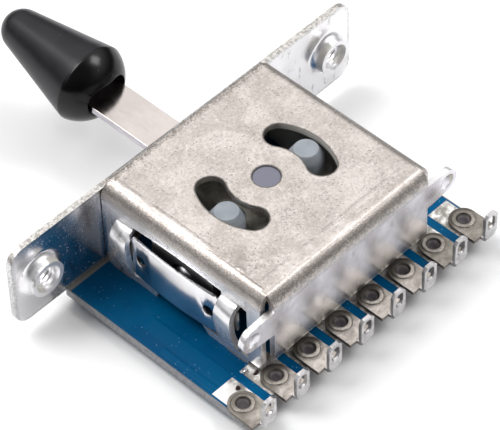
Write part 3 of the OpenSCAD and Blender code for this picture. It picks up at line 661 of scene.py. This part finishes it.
def add_piece(name, verts, faces, material):
    """A smooth mesh in millimetres that rides on the frame."""
    mesh = bpy.data.meshes.new(name)
    mesh.from_pydata([Vector(v) * MM for v in verts], [], faces)
    mesh.materials.append(material)
    for polygon in mesh.polygons:
        polygon.use_smooth = True
    mesh.update()
    piece = bpy.data.objects.new(name, mesh)
    bpy.context.scene.collection.objects.link(piece)
    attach(piece, "frame")


def screw_thread(name, centre_x):
    """The tapped thread of a collar: one ridge wound along the bore, fading out at both ends."""
    pitch, depth, flush, around = 0.5, 0.13, 0.02, 40
    profile = [(-0.207, 0.03), (-0.063, -depth), (0.063, -depth), (0.207, 0.03)]
    first, last = COLLAR_BACK + 0.45, -0.50
    rings = int((last - first) / pitch * around)
    verts, faces = [], []
    for k in range(rings + 1):
        a = 2 * math.pi * k / around
        fade = min(1.0, k / 8, (rings - k) / 8)
        centre_y = first + pitch * k / around
        for along, out in profile:
            r = BORE_R + out
            if out < 0:
                r = BORE_R + flush + (out - flush) * fade
            verts.append((centre_x + r * math.cos(a), centre_y + along, r * math.sin(a)))
    n = len(profile)
    for k in range(rings):
        for j in range(n - 1):
            a = k * n + j
            faces.append((a, a + 1, a + n + 1, a + n))
    add_piece(name, verts, faces, NICKEL)


def solder_drop(name, place, size, seed, material):
    """A frozen drop: a low uneven dome, wider along its second axis."""
    rng = random.Random(seed)
    around, up = 18, 7
    lobes = [rng.uniform(0.0, 2 * math.pi) for _ in range(3)]
    verts, faces = [], []
    for j in range(up + 1):
        t = math.pi / 2 * j / up
        for i in range(around):
            a = 2 * math.pi * i / around
            r = math.cos(t) ** 0.8
            r *= 1 + 0.16 * math.sin(2 * a + lobes[0]) + 0.10 * math.sin(3 * a + lobes[1])
            lift = math.sin(t) * (1 + 0.15 * math.sin(a + lobes[2]) * math.cos(t))
            verts.append((place[0] + size[0] * r * math.cos(a), place[1] + size[1] * r * math.sin(a),
                          place[2] + size[2] * lift))
    for j in range(up):
        for i in range(around):
            a, b = j * around + i, j * around + (i + 1) % around
            faces.append((a, b, b + around, a + around))
    add_piece(name, verts, faces, material)


def flux_residue():
    """Burnt flux: dark brown, half glossy."""
    g = Graph("burnt_flux")
    cloud = g.noise(0.35, 3, 0.6)
    g.surface(Base_Color=g.mix(cloud, rgb(0.020, 0.008, 0.007), rgb(0.07, 0.035, 0.028)),
              Roughness=g.span(cloud, 0.25, 0.6))
    g.bump(cloud, 0.03)
    return g.mat


def bright_solder():
    """Solder frozen bright, with a clouded skin."""
    g = Graph("bright_solder")
    cloud = g.noise(0.5, 3, 0.6)
    g.surface(Metallic=1.0, Base_Color=g.mix(cloud, rgb(0.72, 0.71, 0.71), rgb(0.90, 0.89, 0.88)),
              Roughness=g.span(cloud, 0.12, 0.32))
    g.bump(cloud, 0.03)
    return g.mat


screw_thread("thread_left", -SCREW_SPACING / 2)
screw_thread("thread_right", SCREW_SPACING / 2)
FLUX = flux_residue()
SOLDER = bright_solder()
solder_drop("solder_drop_left", (-13.0, -21.1, BOARD_TOP + 0.05), (0.34, 0.30, 0.42), 3, SOLDER)
solder_drop("flux_drop_left", (-14.95, -22.0, BOARD_TOP + 0.04), (0.26, 0.20, 0.50), 5, FLUX)
solder_drop("flux_drop_wall", (-12.35, -21.95, BOARD_TOP + 0.04), (0.30, 0.22, 0.30), 8, FLUX)


# Floor, light and camera

def floor_sheet(z):
    """A wide sheet of white paper."""
    far = 2.0
    mesh = bpy.data.meshes.new("floor")
    mesh.from_pydata([(-far, -far, z), (far, -far, z), (far, far, z), (-far, far, z)], [], [(0, 1, 2, 3)])
    piece = bpy.data.objects.new("floor", mesh)
    bpy.context.scene.collection.objects.link(piece)
    g = Graph("floor_paper")
    paper = g.mix(g.noise(40.0, 2, 0.5), rgb(0.93, 0.93, 0.93), rgb(0.95, 0.95, 0.95))
    g.surface(Base_Color=paper, Roughness=0.9, Specular_IOR_Level=0.1)
    piece.data.materials.append(g.mat)


def towards(azimuth, elevation):
    """Direction from the object; azimuth 0 is straight behind it, 90 is +X."""
    a, e = math.radians(azimuth), math.radians(elevation)
    return Vector((math.sin(a) * math.cos(e), -math.cos(a) * math.cos(e), math.sin(e)))


def soft_box(name, azimuth, elevation, distance, size, power):
    """A square soft light that faces the object."""
    back = towards(azimuth, elevation)
    data = bpy.data.lights.new(name, "AREA")
    data.size = size
    data.energy = power
    light = bpy.data.objects.new(name, data)
    light.location = Vector((0, -0.01, 0)) + back * distance
    light.rotation_euler = (-back).to_track_quat("-Z", "Y").to_euler()
    bpy.context.scene.collection.objects.link(light)


CAMERA_AZIMUTH, CAMERA_ELEVATION, CAMERA_ROLL = -45.0, 48.19, -1.75


def camera():
    """The photograph's view: a pinhole camera fitted to points on the object."""
    centre_x, centre_y = 11.39, -5.22
    focal_px, width_px = 2942.7, 500.0
    distance, target = 292.8 * MM, Vector((0, -11 * MM, 0))
    azimuth, roll = math.radians(CAMERA_AZIMUTH), math.radians(CAMERA_ROLL)
    back = towards(CAMERA_AZIMUTH, CAMERA_ELEVATION)
    right = Vector((math.cos(azimuth), math.sin(azimuth), 0))
    up = back.cross(right)
    turned_right = math.cos(roll) * right + math.sin(roll) * up
    turned_up = -math.sin(roll) * right + math.cos(roll) * up
    data = bpy.data.cameras.new("photo_camera")
    data.sensor_width = 36.0
    data.lens = focal_px / width_px * data.sensor_width
    data.shift_x = -centre_x / width_px
    data.shift_y = centre_y / width_px
    data.clip_start, data.clip_end = 0.01, 10.0
    cam = bpy.data.objects.new("photo_camera", data)
    turn = Matrix((turned_right, turned_up, back)).transposed()
    cam.matrix_world = Matrix.Translation(target + back * distance) @ turn.to_4x4()
    bpy.context.scene.collection.objects.link(cam)
    bpy.context.scene.camera = cam


def world(low, high, strength, shade):
    """A pale room: dim at the horizon, bright overhead, and darker behind the photographer."""
    w = bpy.data.worlds.new("studio")
    bpy.context.scene.world = w
    w.use_nodes = True
    tree = w.node_tree
    place = tree.nodes.new("ShaderNodeTexCoord").outputs["Generated"]
    split = tree.nodes.new("ShaderNodeSeparateXYZ")
    ramp = tree.nodes.new("ShaderNodeValToRGB")
    ramp.color_ramp.interpolation = "EASE"
    ramp.color_ramp.elements[0].position = 0.15
    ramp.color_ramp.elements[0].color = low
    ramp.color_ramp.elements[1].position = 0.72
    ramp.color_ramp.elements[1].color = high
    tree.links.new(place, split.inputs[0])
    tree.links.new(split.outputs["Z"], ramp.inputs[0])
    near = tree.nodes.new("ShaderNodeVectorMath")
    near.operation = "DOT_PRODUCT"
    near.inputs[1].default_value = towards(CAMERA_AZIMUTH, CAMERA_ELEVATION)
    tree.links.new(place, near.inputs[0])
    patch = tree.nodes.new("ShaderNodeMapRange")
    patch.interpolation_type = "SMOOTHSTEP"
    patch.inputs["From Min"].default_value = 0.50
    patch.inputs["From Max"].default_value = 0.95
    patch.inputs["To Min"].default_value = strength
    patch.inputs["To Max"].default_value = strength * (1 - shade)
    tree.links.new(near.outputs["Value"], patch.inputs["Value"])
    tree.links.new(ramp.outputs[0], tree.nodes["Background"].inputs["Color"])
    tree.links.new(patch.outputs[0], tree.nodes["Background"].inputs["Strength"])


floor_sheet(cad_box[0].z)
world(rgb(0.09, 0.09, 0.095), rgb(1.0, 1.0, 1.0), 1.25, 0.84)
soft_box("key", -150, 58, 0.8, 0.42, 3.3)
soft_box("side", 52, 52, 0.8, 0.28, 1.9)
bpy.context.scene.view_settings.view_transform = "Standard"
camera()
